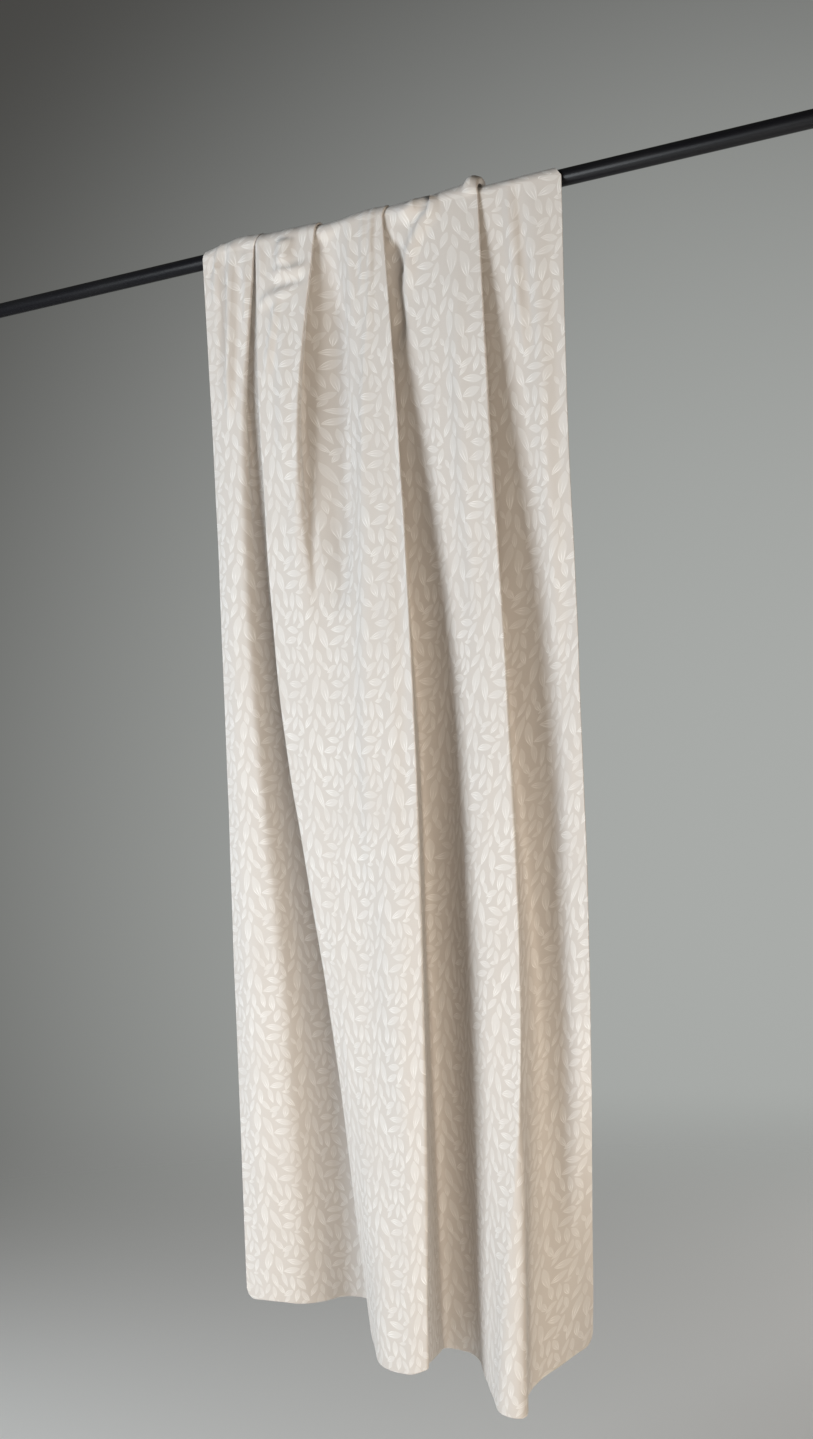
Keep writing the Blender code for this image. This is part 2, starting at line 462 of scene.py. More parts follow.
@dataclass
class Rod:
    """The plain round rod, with flat ends inside eased edges."""

    diameter: float = 0.025
    length: float = 2.0
    sides: int = 128
    edge: float = 0.001
    edge_segments: int = 4
    smooth_angle: float = math.radians(35)

    def build(self, finish: RodFinish) -> bpy.types.Object:
        """Model the rod and dress it.

        Args:
            finish: The paint on it.

        Returns:
            The rod, in place of its plain node.
        """
        bpy.ops.object.select_all(action="DESELECT")
        bpy.ops.mesh.primitive_cylinder_add(
            vertices=self.sides, radius=self.diameter / 2, depth=self.length, end_fill_type="NGON",
            location=(self.length / 2, 0.0, 0.0), rotation=(0.0, math.pi / 2, 0.0))
        rod = bpy.context.active_object
        rod.name = "painted_rod"
        bpy.ops.object.transform_apply(location=True, rotation=True, scale=True)
        self._shape_ends(rod)
        bpy.ops.object.shade_smooth_by_angle(angle=self.smooth_angle)
        rod.data.materials.append(finish.make())
        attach(rod, "root")
        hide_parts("rod")
        return rod

    def _shape_ends(self, rod: bpy.types.Object) -> None:
        """Ease the two end edges and draw one support ring in from each."""
        bpy.ops.object.mode_set(mode="EDIT")
        bpy.ops.mesh.select_mode(type="EDGE")
        bpy.ops.mesh.select_all(action="DESELECT")
        shell = bmesh.from_edit_mesh(rod.data)
        for edge in shell.edges:
            first, second = (vertex.co.x for vertex in edge.verts)
            edge.select = abs(first - second) < self.edge
        bmesh.update_edit_mesh(rod.data)
        bpy.ops.mesh.bevel(offset=self.edge, segments=self.edge_segments, affect="EDGES")
        bpy.ops.mesh.select_mode(type="FACE")
        bpy.ops.mesh.select_all(action="DESELECT")
        shell = bmesh.from_edit_mesh(rod.data)
        for face in shell.faces:
            face.select = len(face.verts) > 4
        bmesh.update_edit_mesh(rod.data)
        bpy.ops.mesh.inset(thickness=self.edge)
        bpy.ops.object.mode_set(mode="OBJECT")


# the cloth

@dataclass(frozen=True)
class FoldLine:
    """A line from the rod to the hem, in millimetres from the middle of the cloth and the rod's axis.

    On the rod it has its X, its layer (0 lies on the rod, 2 on top of the pleat) and the puff in it. Below
    the rod it has its X and Y at four sections, and the depth of its hem. The columns are those of the
    points on the side after it.
    """

    name: str
    rod_x: float
    layer: float
    puff: float
    high_x: float
    high_y: float
    mid_x: float
    mid_y: float
    low_x: float
    low_y: float
    hem_x: float
    hem_y: float
    drop: float
    columns: int = 1
    turn: Turn = Turn.CRISP


FOLD_LINES = tuple(FoldLine(*row) for row in (
    ("left edge",         -355, 0.6, 0, -339, -22, -309, -48, -288, -66, -269, -82, 1648, 5, Turn.EASY),
    ("left panel",        -300, 2.0, 5, -298, -31, -275, -60, -240, -88, -228, -84, 1645, 6, Turn.ROUND),
    ("left fold",         -244, 2.0, 4, -268, -34, -243, -56, -184, -76, -172, -64, 1649),
    ("left fold under",   -244, 1.0, 4, -262, -25, -236, -42, -174, -48, -150, -34, 1648),
    ("slot left upper",   -279, 1.0, 0, -272, -18, -236, -16, -178, -10, -146, 0, 1648),
    ("slot left lower",   -279, 0.0, 0, -270, -9, -228, -4, -160, 8, -122, 12, 1648, 2),
    ("slot right lower",  -205, 0.0, 0, -196, -9, -168, -4, -114, 10, -82, 14, 1652),
    ("slot right upper",  -205, 1.0, 0, -196, -18, -158, -16, -98, -4, -60, -2, 1655),
    ("tongue edge under", -240, 1.0, 2, -230, -26, -190, -40, -98, -52, -52, -38, 1660),
    ("tongue edge",       -240, 2.0, 2, -230, -36, -192, -56, -94, -80, -42, -70, 1663, 23),
    ("flap fold",         -121, 2.0, 0, -142, -49, -130, -66, -54, -98, -8, -104, 1676),
    ("flap fold under",   -121, 1.0, 0, -142, -40, -100, -68, -28, -104, 18, -126, 1688),
    ("flap tuck upper",   -141, 1.0, 0, -158, -24, -76, -70, -8, -110, 38, -140, 1691),
    ("flap tuck lower",   -141, 0.0, 0, -152, -14, -52, -74, 12, -116, 56, -148, 1692),
    ("tongue shoulder",   -78, 0.0, 0,  -74, -18, -12, -82, 40, -126, 76, -152, 1692, 4, Turn.ROUND),
    ("tongue front",      -36, 2.0, 1,  -16, -44, 48, -98, 84, -142, 102, -158, 1690, 9, Turn.ROUND),
    ("tongue fold",       12, 2.0, 1,   52, -50, 102, -100, 130, -138, 127, -150, 1679),
    ("tongue fold under", 12, 1.0, 1,   46, -44, 94, -92, 119, -129, 116, -140, 1677),
    ("tongue tuck upper", -38, 1.0, 0,  8, -24, 54, -34, 72, -50, 84, -62, 1685),
    ("tongue tuck lower", -38, 0.0, 0,  8, -12, 42, -12, 46, -10, 66, -28, 1688, 3),
    ("second rise",       40, 0.0, 4,   54, -14, 88, -12, 104, -10, 122, -26, 1691, 4, Turn.ROUND),
    ("second front",      118, 2.0, 1,  140, -38, 170, -62, 172, -78, 176, -84, 1699, 10, Turn.ROUND),
    ("second fold",       187, 2.0, 7,  216, -50, 250, -78, 266, -98, 246, -156, 1722),
    ("second fold under", 187, 1.0, 6,  208, -42, 241, -70, 258, -90, 295, -156, 1722),
    ("second tuck upper", 142, 1.0, 0,  168, -24, 206, -30, 248, -50, 264, -112, 1702),
    ("second tuck lower", 142, 0.0, 0,  170, -12, 208, -14, 250, -26, 278, -84, 1682, 2),
    ("right rise",        225, 0.0, 0,  236, -14, 272, -14, 286, -28, 294, -62, 1671, 4, Turn.ROUND),
    ("right panel",       280, 0.6, 0,  288, -26, 314, -34, 324, -48, 302, -40, 1661, 7, Turn.ROUND),
    ("right edge",        329, 0.6, 0,  332, -26, 346, -40, 350, -52, 312, -8, 1654, 1, Turn.EASY),
))


@dataclass(frozen=True)
class Crease:
    """A soft trough or ridge along a line drawn on the front, in millimetres.

    The line's points are X from the middle of the cloth and the depth below the rod's axis. Only the cloth
    between the two named fold lines takes it.
    """

    relief: Relief
    height: float
    reach: float
    first: str
    last: str
    line: tuple[Pair, ...]


@dataclass(frozen=True)
class Sway:
    """A faint relief all over the cloth: its height, how it is stretched across and down, and its seed."""

    height: float
    across: float
    down: float
    seed: float


SWAYS = (Sway(0.0034, 13.0, 1.9, 3.7), Sway(0.00119, 34.0, 7.0, 9.1))

# How far a fold line's X moves over the top of the rod, in millimetres
CREST_SHIFTS = {"left fold": 9, "left fold under": 9, "tongue edge": 3, "tongue edge under": 3,
                "flap fold": 6, "flap fold under": 6, "tongue fold": 10, "tongue fold under": 10,
                "second fold": 8, "second fold under": 8}

CREASES = tuple(Crease(*row) for row in (
    (Relief.TROUGH, 9.0, 10, "left edge", "left fold", ((-306, -8), (-309, 77), (-314, 200))),
    (Relief.RIDGE, 10.0, 12, "left edge", "left fold", ((-291, -4), (-290, 112), (-294, 260))),
    (Relief.TROUGH, 5.0, 6, "left edge", "left panel", ((-325, -12), (-334, 12), (-342, 36))),
    (Relief.RIDGE, 6.0, 7, "left edge", "left panel", ((-316, -16), (-323, 18), (-328, 74))),
    (Relief.RIDGE, 2.0, 14, "left panel", "left fold", ((-296, -22), (-276, -20), (-256, -24))),
    (Relief.RIDGE, 5.0, 12, "left panel", "left fold", ((-262, 14), (-256, 80), (-246, 220))),
    (Relief.RIDGE, 4.0, 8, "tongue edge", "flap fold", ((-234, -18), (-228, 20), (-226, 60))),
    (Relief.RIDGE, 11.0, 24, "tongue edge", "flap fold", ((-176, -2), (-178, 20), (-180, 42))),
    (Relief.RIDGE, 7.0, 10, "tongue edge", "flap fold", ((-198, 50), (-168, 54), (-138, 52))),
    (Relief.TROUGH, 4.0, 7, "tongue edge", "flap fold", ((-204, 66), (-176, 69), (-136, 68))),
    (Relief.RIDGE, 6.0, 11, "tongue edge", "flap fold", ((-230, 100), (-208, 88), (-160, 84))),
    (Relief.RIDGE, 6.0, 12, "tongue edge", "flap fold", ((-190, 92), (-200, 150), (-212, 210))),
    (Relief.RIDGE, 4.0, 22, "tongue edge", "flap fold", ((-180, 110), (-176, 220), (-170, 380))),
    (Relief.TROUGH, 26.0, 42, "flap tuck lower", "tongue front",
     ((-104, 30), (-99, 120), (-98, 250), (-88, 380), (-72, 560))),
    (Relief.RIDGE, 4.4, 7, "tongue shoulder", "tongue fold", ((-23, -16), (-22, 50), (-22, 120))),
    (Relief.RIDGE, 4.8, 7, "tongue shoulder", "tongue fold", ((-8, -16), (-8, 60), (-8, 180))),
    (Relief.RIDGE, 3.4, 12, "tongue shoulder", "tongue fold", ((-12, 150), (-16, 260), (-10, 420))),
    (Relief.RIDGE, 5.0, 30, "flap tuck lower", "tongue fold",
     ((-16, 260), (-8, 420), (8, 700), (24, 1000))),
    (Relief.TROUGH, 3.4, 20, "tongue shoulder", "tongue fold",
     ((34, 300), (54, 440), (78, 700), (94, 960))),
    (Relief.RIDGE, 3.4, 14, "tongue shoulder", "tongue front", ((-54, -6), (-50, 60), (-40, 150))),
    (Relief.RIDGE, 12.0, 17, "tongue tuck lower", "second front", ((42, -2), (60, 2), (82, -6))),
    (Relief.TROUGH, 16.0, 24, "tongue tuck lower", "second front", ((16, 40), (26, 60), (34, 92))),
    (Relief.TROUGH, 12.0, 22, "tongue tuck lower", "second front", ((24, 80), (27, 120), (34, 190))),
    (Relief.RIDGE, 8.0, 16, "tongue tuck lower", "second front",
     ((106, -6), (92, 18), (74, 42), (60, 66), (56, 110))),
    (Relief.TROUGH, 7.0, 8, "second rise", "second front", ((98, -34), (97, -12), (90, 12))),
    (Relief.RIDGE, 6.0, 9, "second rise", "second front", ((110, -36), (109, -10), (106, 22))),
    (Relief.RIDGE, 8.0, 16, "second front", "second fold under", ((160, -40), (170, -34), (174, -10))),
    (Relief.RIDGE, 3.0, 22, "second front", "second fold", ((150, 120), (164, 340), (190, 640))),
    (Relief.TROUGH, 3.0, 26, "second rise", "second fold", ((124, 180), (134, 380), (150, 600))),
    (Relief.RIDGE, 5.0, 14, "right rise", "right edge", ((238, -6), (244, 80), (262, 240))),
    (Relief.TROUGH, 2.5, 14, "right rise", "right edge", ((256, 10), (264, 110), (280, 260))),
    (Relief.RIDGE, 2.6, 24, "right rise", "right edge", ((284, 40), (292, 260), (304, 560))),
    (Relief.TROUGH, 2.0, 20, "right panel", "right edge", ((306, 100), (318, 400), (326, 800))),
))


@dataclass
class CurtainCloth:
    """The cloth as it hangs: rows of points through the fold lines, then relief, hems and thickness."""

    middle_x: float = 1.0
    rod_radius: float = 0.0125
    seat_gap: float = 0.0010
    layer_pitch: float = 0.0024
    top_layer: float = 2.0
    thickness: float = 0.0011
    sections: tuple[float, ...] = (0.0, 0.18, 0.43, 0.71, 1.0)
    front_rows: int = 126
    front_ease: float = 1.45
    over_rod_rows: int = 20
    back_rows: int = 25
    back_ease: float = 1.4
    corner_columns: tuple[tuple[Turn, int], ...] = ((Turn.CRISP, 4), (Turn.EASY, 5), (Turn.ROUND, 9))
    side_share: float = 0.47
    near_rod: float = 0.06
    over_rod_scale: float = 1.4
    hem_heights: tuple[float, ...] = (0.022, 0.017, 0.012, 0.008, 0.005, 0.002)
    hem_clearance: float = 0.002
    hem_gap: float = 0.0017
    hem_turn: int = 4
    back_drop: float = 1.46
    back_top: Pair = (-0.349, 0.288)
    back_hem: Pair = (-0.318, 0.226)
    back_spread: float = 0.8
    back_wave: float = 0.092
    back_gap: float = 0.022
    back_spread_ease: float = 1.2
    back_depth_ease: float = 0.6
    corner_reach: float = 0.018
    corner_rise: float = 0.072
    corner_roundness: float = 0.98
    sway_depth: float = 0.5
    least_sway: float = 0.10
    crease_margin: float = 0.06
    crease_end: float = 0.2
    crease_end_height: float = 0.35
    print_sizes: Pair = (0.094, 0.069)
    print_reach: float = 1.7
    print_start: float = 0.05
    print_steps: int = 200
    smooth_angle: float = math.radians(80)
    flat_size: Pair = (1.06, 3.2)

    def __post_init__(self) -> None:
        """Read the fold lines into arrays in metres."""
        self.rod_x, self.puff, self.drop = np.array([(f.rod_x, f.puff, f.drop) for f in FOLD_LINES]).T * MM
        self.layer, self.turn = np.array([(f.layer, f.turn.value) for f in FOLD_LINES]).T
        self.seat = self.rod_radius + self.seat_gap + self.thickness / 2 + self.layer * self.layer_pitch
        self.crest_shift = np.array([CREST_SHIFTS.get(f.name, 0) for f in FOLD_LINES]) * MM
        self.across = np.array([[f.rod_x, f.high_x, f.mid_x, f.low_x, f.hem_x] for f in FOLD_LINES]).T * MM
        forward = np.array([[f.high_y, f.mid_y, f.low_y, f.hem_y] for f in FOLD_LINES]).T * MM
        self.forward = np.vstack([-self.seat, forward])
        share = (self.rod_x - self.rod_x[0]) / (self.rod_x[-1] - self.rod_x[0])
        self.back_x = self.back_top[0] + share * (self.back_top[1] - self.back_top[0])
        steps = np.hypot(np.diff(self.rod_x), np.diff(self.layer) * self.layer_pitch)
        flat = np.concatenate([[0.0], np.cumsum(steps)])
        self.flat_share = flat / flat[-1]

    def _smooth(self, values: np.ndarray, share: float) -> np.ndarray:
        """Read the smooth curves through the values of the sections.

        Args:
            values: One row for each section and one column for each fold line.
            share: Where the curves are read, from 0 at the rod to 1 at the hem.

        Returns:
            One value for each fold line.
        """
        shares = self.sections
        last = len(shares) - 1
        slopes = [(values[min(i + 1, last)] - values[max(i - 1, 0)])
                  / (shares[min(i + 1, last)] - shares[max(i - 1, 0)]) for i in range(last + 1)]
        start = max(i for i in range(last) if shares[i] <= share)
        span = shares[start + 1] - shares[start]
        t = (share - shares[start]) / span
        return ((2 * t**3 - 3 * t**2 + 1) * values[start] + (t**3 - 2 * t**2 + t) * span * slopes[start]
                + (3 * t**2 - 2 * t**3) * values[start + 1] + (t**3 - t**2) * span * slopes[start + 1])

    def _front(self, share: float) -> np.ndarray:
        """Place the fold lines' points on the front drop at a share of its length."""
        return np.stack([self._smooth(self.across, share), self._smooth(self.forward, share),
                         -share * self.drop], axis=1)

    def _over(self, turn: float) -> np.ndarray:
        """Place the fold lines' points over the rod: turn is 0 in front and 1 behind."""
        angle = math.pi * turn
        radius = self.seat + self.puff * math.sin(angle)
        shift = self.crest_shift * math.sin(angle)
        return np.stack([self.rod_x + (self.back_x - self.rod_x) * turn + shift,
                         -radius * math.cos(angle), radius * math.sin(angle)], axis=1)

    def _back(self, share: float) -> np.ndarray:
        """Place the fold lines' points on the back drop, where each pleat opens to a wave."""
        hem_x = self.back_hem[0] + self.flat_share * (self.back_hem[1] - self.back_hem[0])
        depth = self.back_gap + self.layer / self.top_layer * self.back_wave
        spread = self.back_spread * share**self.back_spread_ease
        return np.stack([self.back_x + (hem_x - self.back_x) * spread,
                         self.seat + depth * share**self.back_depth_ease,
                         np.full(len(self.seat), -share * self.back_drop)], axis=1)

    def _row(self, corners: np.ndarray) -> tuple[np.ndarray, np.ndarray]:
        """Draw one row through its corners, each turned as its fold line says.

        Args:
            corners: The fold lines' points.

        Returns:
            The row's points from left to right, and each one's place among the fold lines: 1.5 is midway
            between the second and the third.
        """
        counts = dict(self.corner_columns)
        lengths = np.linalg.norm(np.diff(corners, axis=0), axis=1)
        points, places = [corners[0]], [0.0]
        leave, leave_place = corners[0], 0.0
        last = len(corners) - 1
        for index in range(1, last):
            corner = corners[index]
            before, after = lengths[index - 1], lengths[index]
            short = min(before, after)
            reach_in, reach_out = (self.side_share * (short + (length - short) * self.turn[index])
                                   for length in (before, after))
            enter = corner + (corners[index - 1] - corner) * reach_in / before
            next_leave = corner + (corners[index + 1] - corner) * reach_out / after
            enter_place = index - reach_in / before
            for share in self._shares(FOLD_LINES[index - 1].columns):
                points.append(leave + (enter - leave) * share)
                places.append(leave_place + (enter_place - leave_place) * share)
            leave, leave_place = next_leave, index + reach_out / after
            count = counts[FOLD_LINES[index].turn]
            for share in ((step + 0.5) / count for step in range(count)):
                first = enter + (corner - enter) * share
                second = corner + (leave - corner) * share
                points.append(first + (second - first) * share)
                places.append(enter_place + (leave_place - enter_place) * share)
        for share in (*self._shares(FOLD_LINES[last - 1].columns), 1.0):
            points.append(leave + (corners[-1] - leave) * share)
            places.append(leave_place + (last - leave_place) * share)
        return np.array(points), np.array(places)

    @staticmethod
    def _shares(count: int) -> tuple[float, ...]:
        """Space a number of points evenly between 0 and 1, without the ends."""
        return tuple((step + 1) / (count + 1) for step in range(count))

    def _drop_shares(self, count: int, ease: float, drop: float) -> list[float]:
        """Space the rows of one drop: closer near the rod, and at the hem band's own heights.

        Args:
            count: Number of rows on an even drop without a hem band.
            ease: How much closer the rows lie near the rod, where 1 is not at all.
            drop: Length of the drop.

        Returns:
            Each row's share of the drop, from below the rod to the hem.
        """
        hem = [1.0 - height / drop for height in self.hem_heights] + [1.0]
        shares = [(i / count) ** ease for i in range(1, count + 1)]
        return [share for share in shares if share < hem[0] - self.hem_clearance] + hem

    def _rows(self) -> tuple[np.ndarray, np.ndarray]:
        """Draw all rows from the front hem to the back hem.

        Returns:
            The grid of points, and each point's depth below the rod: over 0 in front, and less behind.
        """
        front = self._drop_shares(self.front_rows, self.front_ease, float(self.drop.mean()))[::-1]
        turns = [i / self.over_rod_rows for i in range(self.over_rod_rows + 1)]
        back = self._drop_shares(self.back_rows, self.back_ease, self.back_drop)
        rows = ([self._front(share) for share in front] + [self._over(turn) for turn in turns]
                + [self._back(share) for share in back])
        grid = np.array([self._row(corners)[0] for corners in rows])
        depth = -grid[:, :, 2]
        for index, turn in enumerate(turns):
            depth[len(front) + index] = -turn * math.pi * self.rod_radius * self.over_rod_scale
        depth[len(front) + len(turns):] *= -1.0
        return grid, depth

    @staticmethod
    def _normals(grid: np.ndarray) -> np.ndarray:
        """Find the outward direction at each point of a grid of rows."""
        across = np.gradient(grid, axis=1)
        up = np.gradient(grid, axis=0)
        normal = np.cross(across, up)
        return normal / np.linalg.norm(normal, axis=2, keepdims=True)

    def _flat(self, grid: np.ndarray) -> np.ndarray:
        """Lay the cloth out flat: the way across from the left edge, and the way down from the rod."""
        across = np.concatenate([np.zeros((grid.shape[0], 1)),
                                 np.cumsum(np.linalg.norm(np.diff(grid, axis=1), axis=2), axis=1)], axis=1)
        steps = np.linalg.norm(np.diff(grid, axis=0), axis=2).mean(axis=1)
        way = np.concatenate([[0.0], np.cumsum(steps)])
        crest = int(np.argmax(grid[:, :, 2].mean(axis=1)))
        down = np.repeat((way[crest] - way)[:, None], grid.shape[1], axis=1)
        return np.stack([across, down], axis=2)

    def _relief(self, grid: np.ndarray, depth: np.ndarray, flat: np.ndarray) -> np.ndarray:
        """Find how far each point stands out of the plain folds.

        Args:
            grid: The plain grid.
            depth: Each point's depth below the rod.
            flat: The cloth laid out flat.

        Returns:
            The way out along the normal, in metres.
        """
        out = np.zeros(grid.shape[:2])
        swing = np.clip(np.abs(depth.mean(axis=1)) / self.sway_depth, 0, 1)
        swing = self.least_sway + (1 - self.least_sway) * swing * swing * (3 - 2 * swing)
        for row, column in np.ndindex(out.shape):
            across, down = flat[row, column]
            out[row, column] = swing[row] * sum(
                sway.height * noise.noise(Vector((across * sway.across, down * sway.down, sway.seed)))
                for sway in SWAYS)
        places = self._row(self._front(self.near_rod))[1]
        names = [fold.name for fold in FOLD_LINES]
        for crease in CREASES:
            first, last = names.index(crease.first), names.index(crease.last)
            inside = self._plateau(places, first, last, self.crease_margin)
            away, along = self._distance(grid[:, :, 0] / MM, depth / MM, crease.line)
            bell = np.clip(1 - (away / crease.reach) ** 2, 0, 1) ** 2
            ends = self._plateau(along, 0, 1, self.crease_end)
            height = self.crease_end_height + (1 - self.crease_end_height) * ends
            out += crease.relief.value * crease.height * MM * bell * height * inside
        return out

    @staticmethod
    def _plateau(values: np.ndarray, low: float, high: float, margin: float) -> np.ndarray:
        """Rise from 0 at low to 1 over a margin, and fall back to 0 at high."""
        return np.clip((values - low) / margin, 0, 1) * np.clip((high - values) / margin, 0, 1)

    @staticmethod
    def _distance(x: np.ndarray, down: np.ndarray,
                  line: Sequence[Pair]) -> tuple[np.ndarray, np.ndarray]:
        """Measure from each point to a drawn line.

        Args:
            x: X of the points.
            down: Depth of the points.
            line: The line's points.

        Returns:
            The distance, and the share of the line's length at which it is nearest.
        """
        best = np.full(x.shape, 1e9)
        share = np.zeros(x.shape)
        lengths = [math.dist(a, b) for a, b in zip(line, line[1:])]
        done = 0.0
        for (ax, ay), (bx, by), length in zip(line, line[1:], lengths):
            t = np.clip(((x - ax) * (bx - ax) + (down - ay) * (by - ay)) / length**2, 0, 1)
            away = np.hypot(x - ax - t * (bx - ax), down - ay - t * (by - ay))
            nearer = away < best
            best = np.where(nearer, away, best)
            share = np.where(nearer, (done + t * length) / sum(lengths), share)
            done += length
        return best, share

    def _with_hems(self, grid: np.ndarray, flat: np.ndarray) -> tuple[np.ndarray, np.ndarray]:
        """Turn both hems in: a narrow band that lies against the cloth's inner face.

        Args:
            grid: The points of the sheet from hem to hem.
            flat: The sheet laid out flat.

        Returns:
            The longer grid and its flat layout.
        """
        normal = self._normals(grid)
        count = len(self.hem_heights) + 1
        parts, flats = [grid], [flat]
        for rows, side in ((list(range(count)), -1), (list(range(-1, -1 - count, -1)), 1)):
            edge, edge_normal, edge_flat = grid[rows[0]], normal[rows[0]], flat[rows[0]]
            lower = edge - grid[rows[1]]
            lower /= np.linalg.norm(lower, axis=1, keepdims=True)
            turn, turn_flat = [], []
            for step in range(1, self.hem_turn):
                angle = math.pi * step / self.hem_turn
                turn.append(edge - edge_normal * self.hem_gap * (1 - math.cos(angle)) / 2
                            + lower * self.hem_gap / 2 * math.sin(angle))
                turn_flat.append(edge_flat - [0.0, side * self.hem_gap * angle / 2])
            band = [grid[row] - normal[row] * self.hem_gap for row in rows]
            mirror = 2 * edge_flat[:, 1] - side * self.hem_gap * math.pi / 2
            band_flat = [np.stack([edge_flat[:, 0], mirror - flat[row][:, 1]], axis=1) for row in rows]
            at = 0 if side < 0 else len(parts)
            parts.insert(at, np.array(turn + band)[::side])
            flats.insert(at, np.array(turn_flat + band_flat)[::side])
        return np.concatenate(parts), np.concatenate(flats)

    def grid(self) -> tuple[np.ndarray, np.ndarray]:
        """Make the finished sheet's points and its flat layout, both in rows."""
        grid, depth = self._rows()
        flat = self._flat(grid)
        normal = self._normals(grid)
        grid = grid + normal * self._relief(grid, depth, flat)[:, :, None]
        grid = self._clear_of_rod(grid)
        grid = self._rounded_corners(grid, flat)
        return self._with_hems(grid, flat)

    def _clear_of_rod(self, grid: np.ndarray) -> np.ndarray:
        """Keep every point at least a seat's height from the rod's axis."""
        least = self.rod_radius + self.seat_gap + self.thickness / 2
        away = np.hypot(grid[:, :, 1], grid[:, :, 2])
        return grid * np.stack([np.ones(away.shape), *[np.maximum(1.0, least / away)] * 2], axis=2)

    def _rounded_corners(self, grid: np.ndarray, flat: np.ndarray) -> np.ndarray:
        """Lift the hem near its two corners, so that they are round."""
        width = flat[:, -1:, 0]
        near = np.minimum(flat[:, :, 0], width - flat[:, :, 0])
        reach = np.clip(1.0 - near / self.corner_reach, 0.0, 1.0)
        lift = self.corner_reach * (1.0 - np.sqrt(1.0 - reach**2 * self.corner_roundness))
        low = np.clip(1.0 - (grid[:, :, 2] - grid[0][None, :, 2]) / self.corner_rise, 0.0, 1.0)
        grid = grid.copy()
        grid[:, :, 2] += lift * low * (grid[:, :, 1] < self.rod_radius)
        return grid

    def _print_places(self, flat: np.ndarray) -> np.ndarray:
        """Turn the flat layout into the print's coordinates: its repeat shrinks towards the front hem."""
        top, bottom = self.print_sizes
        down = flat[:, :, 1]
        size = top + (bottom - top) * np.clip(down / self.print_reach, 0.0, 1.0)
        steps = np.linspace(0.0, self.print_reach, self.print_steps)
        sizes = top + (bottom - top) * steps / self.print_reach
        repeats = np.concatenate([[0.0], np.cumsum(np.diff(steps) / ((sizes[1:] + sizes[:-1]) / 2))])
        rise = (np.interp(np.clip(down, 0.0, self.print_reach), steps, repeats)
                + np.minimum(down, 0.0) / top + np.maximum(down - self.print_reach, 0.0) / bottom)
        return np.stack([(flat[:, :, 0] - self.print_start) / size, -rise], axis=2)

    def build(self, face: bpy.types.Material, reverse: bpy.types.Material) -> bpy.types.Object:
        """Build the cloth and dress it.

        Args:
            face: The finish of the cloth's face.
            reverse: The finish of its reverse.

        Returns:
            The cloth, in place of its plain node.
        """
        grid, flat = self.grid()
        rows, columns = grid.shape[:2]
        points = grid.reshape(-1, 3) + [self.middle_x, 0.0, 0.0]
        index = np.arange(rows * columns).reshape(rows, columns)
        faces = np.stack([index[:-1, :-1], index[:-1, 1:], index[1:, 1:], index[1:, :-1]], axis=2)
        faces = faces.reshape(-1, 4)
        mesh = bpy.data.meshes.new("curtain_cloth_folds")
        mesh.from_pydata(points.tolist(), [], faces.tolist())
        for name, places in (("flat", flat), ("print", self._print_places(flat))):
            layer = mesh.uv_layers.new(name=name)
            layer.data.foreach_set("uv", places.reshape(-1, 2)[faces.ravel()].astype(np.float32).ravel())
        mesh.validate()
        cloth = bpy.data.objects.new("curtain_folds", mesh)
        bpy.context.scene.collection.objects.link(cloth)
        mesh.materials.append(face)
        mesh.materials.append(reverse)
        bpy.ops.object.select_all(action="DESELECT")
        cloth.select_set(True)
        bpy.context.view_layer.objects.active = cloth
        body = cloth.modifiers.new("thickness", "SOLIDIFY")
        body.thickness = self.thickness
        body.offset = 0.0
        body.material_offset = 1
        bpy.ops.object.modifier_apply(modifier=body.name)
        bpy.ops.object.shade_smooth_by_angle(angle=self.smooth_angle)
        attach(cloth, "root")
        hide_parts("curtain_cloth")
        return cloth


# the studio

@dataclass(frozen=True)
class Lamp:
    """A square soft light: its place, the length of its sides, its watts and its colour."""

    name: str
    place: Triple
    size: float
    power: float
    colour: Triple

    def hang(self, aim: Triple) -> None:
        """Hang the lamp so that it faces a point."""
        data = bpy.data.lights.new(self.name, "AREA")
        data.shape = "SQUARE"
        data.size = self.size
        data.energy = self.power
        data.color = self.colour
        lamp = bpy.data.objects.new(self.name, data)
        lamp.location = self.place
        lamp.rotation_euler = (Vector(aim) - Vector(self.place)).to_track_quat("-Z", "Y").to_euler()
        bpy.context.scene.collection.objects.link(lamp)


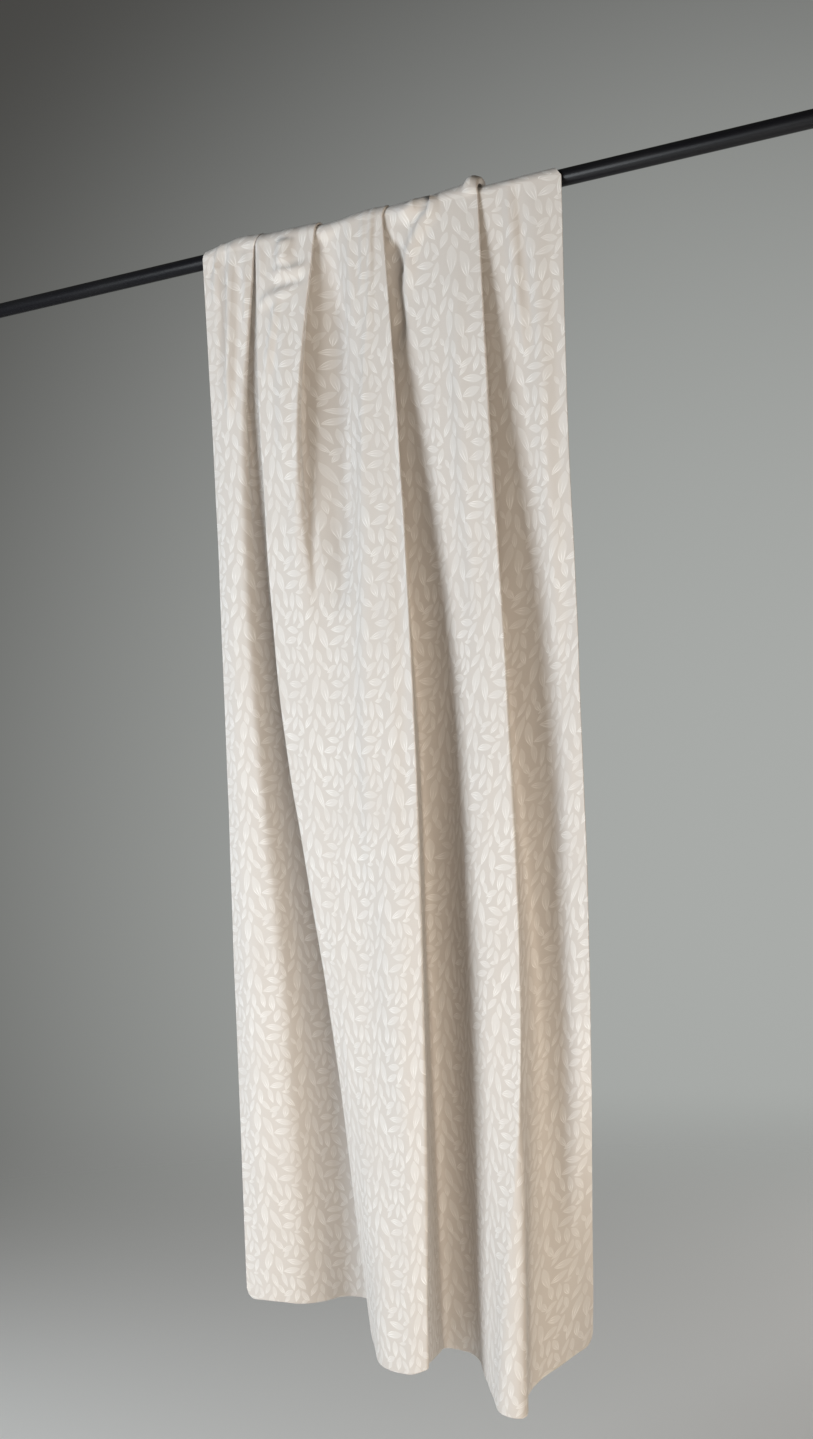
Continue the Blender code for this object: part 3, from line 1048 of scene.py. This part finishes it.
@dataclass
class Studio:
    """A plain pale floor, a grey room, a soft light from the left, and others right, low and behind."""

    floor_z: float = -2.05
    floor_size: float = 12.0
    floor_fade: Pair = (1.2, 4.6)
    floor_tones: tuple[Triple, ...] = ((0.70, 0.70, 0.69), (0.74, 0.74, 0.73))
    floor_roughness: float = 0.8
    floor_glow: Triple = (1.0, 1.0, 0.98)
    floor_glow_strength: float = 0.10
    middle: Triple = (1.0, 0.0, -1.05)
    towards_light: Triple = (-0.564, 1.307, -0.099)
    room_rise: Pair = (1.172, 1.473)
    dim_room: Triple = (0.064, 0.063, 0.059)
    light_room: Triple = (0.422, 0.437, 0.422)
    lamps: tuple[Lamp, ...] = (
        Lamp("key_light", (-0.35, -2.2, -0.75), 1.5, 70.0, (0.90, 0.96, 1.0)),
        Lamp("fill_light", (4.2, -2.3, -1.7), 2.4, 62.0, (1.0, 0.85, 0.66)),
        Lamp("back_light", (2.2, 3.2, -0.9), 2.0, 34.0, (1.0, 0.97, 0.93)),
        Lamp("low_light", (2.6, -1.6, -2.0), 1.2, 35.0, (1.0, 0.88, 0.74)))

    def build(self) -> None:
        """Make the floor, the room's light and the lamps."""
        floor_middle = (*self.middle[:2], self.floor_z)
        bpy.ops.object.select_all(action="DESELECT")
        bpy.ops.mesh.primitive_plane_add(size=self.floor_size, location=floor_middle)
        floor = bpy.context.active_object
        floor.name = "studio_floor"
        bpy.ops.object.transform_apply(location=True, rotation=True, scale=True)
        floor.data.materials.append(self._floor_finish(floor_middle))
        bpy.context.scene.world = self._room()
        bpy.context.scene.view_settings.view_transform = "Standard"
        for lamp in self.lamps:
            lamp.hang(self.middle)

    def _floor_finish(self, floor_middle: Triple) -> bpy.types.Material:
        """Make the pale floor's material, which fades out into the room around the floor's middle."""
        material, bench, shader = new_material("pale floor")
        where = bench.node("ShaderNodeTexCoord", {}, {}, output="Object")
        bench.feed(shader, {
            "Base Color": bench.mix(bench.noise(where, 0.8), *self.floor_tones),
            "Roughness": self.floor_roughness,
            "Emission Color": (*self.floor_glow, 1.0),
            "Emission Strength": self.floor_glow_strength})
        away = bench.vector("DISTANCE", where, floor_middle, output=1)
        clear = bench.node("ShaderNodeBsdfTransparent", {}, {})
        shaded = Shade(bench, shader.outputs[0])
        faded = bench.node("ShaderNodeMixShader", {}, {0: away.step(*self.floor_fade), 1: shaded, 2: clear})
        bench.feed(material.node_tree.nodes["Material Output"], {0: faded})
        return material

    def _room(self) -> bpy.types.World:
        """Make the grey room's light, which grows softly from the upper left to the lower right."""
        world = bpy.data.worlds.new("grey room")
        world.use_nodes = True
        bench = NodeBench(world.node_tree)
        where = bench.node("ShaderNodeTexCoord", {}, {}, output="Generated")
        rise = bench.vector("DOT_PRODUCT", where, self.towards_light, output=1)
        tone = bench.mix(rise.step(*self.room_rise), self.dim_room, self.light_room)
        bench.feed(world.node_tree.nodes["Background"], {"Color": tone, "Strength": 1.0})
        return world


@dataclass(frozen=True)
class Camera:
    """The camera at the photograph's viewing angle."""

    place: Triple = (2.80566, -2.42925, -0.83077)
    degrees: Triple = (91.31, 1.8896, 36.4642)
    lens: float = 50.0

    def build(self) -> None:
        """Make the camera and look through it."""
        data = bpy.data.cameras.new("camera")
        data.lens = self.lens
        camera = bpy.data.objects.new("camera", data)
        camera.location = self.place
        camera.rotation_euler = tuple(math.radians(angle) for angle in self.degrees)
        bpy.context.scene.collection.objects.link(camera)
        bpy.context.scene.camera = camera


def main() -> None:
    """Build the rod, the cloth, the studio and the camera."""
    rod = Rod().build(RodFinish())
    LOG.info("%s: %d faces", rod.name, len(rod.data.polygons))
    leaf_print = LeafPrint()
    face = ClothFinish("cream leaf cloth").make(leaf_print)
    reverse = ClothFinish("cream leaf cloth reverse", print_strength=0.45).make(leaf_print)
    cloth = CurtainCloth().build(face, reverse)
    LOG.info("%s: %d faces", cloth.name, len(cloth.data.polygons))
    Studio().build()
    Camera().build()


if __name__ == "__main__":
    logging.basicConfig(level=logging.INFO)
    main()
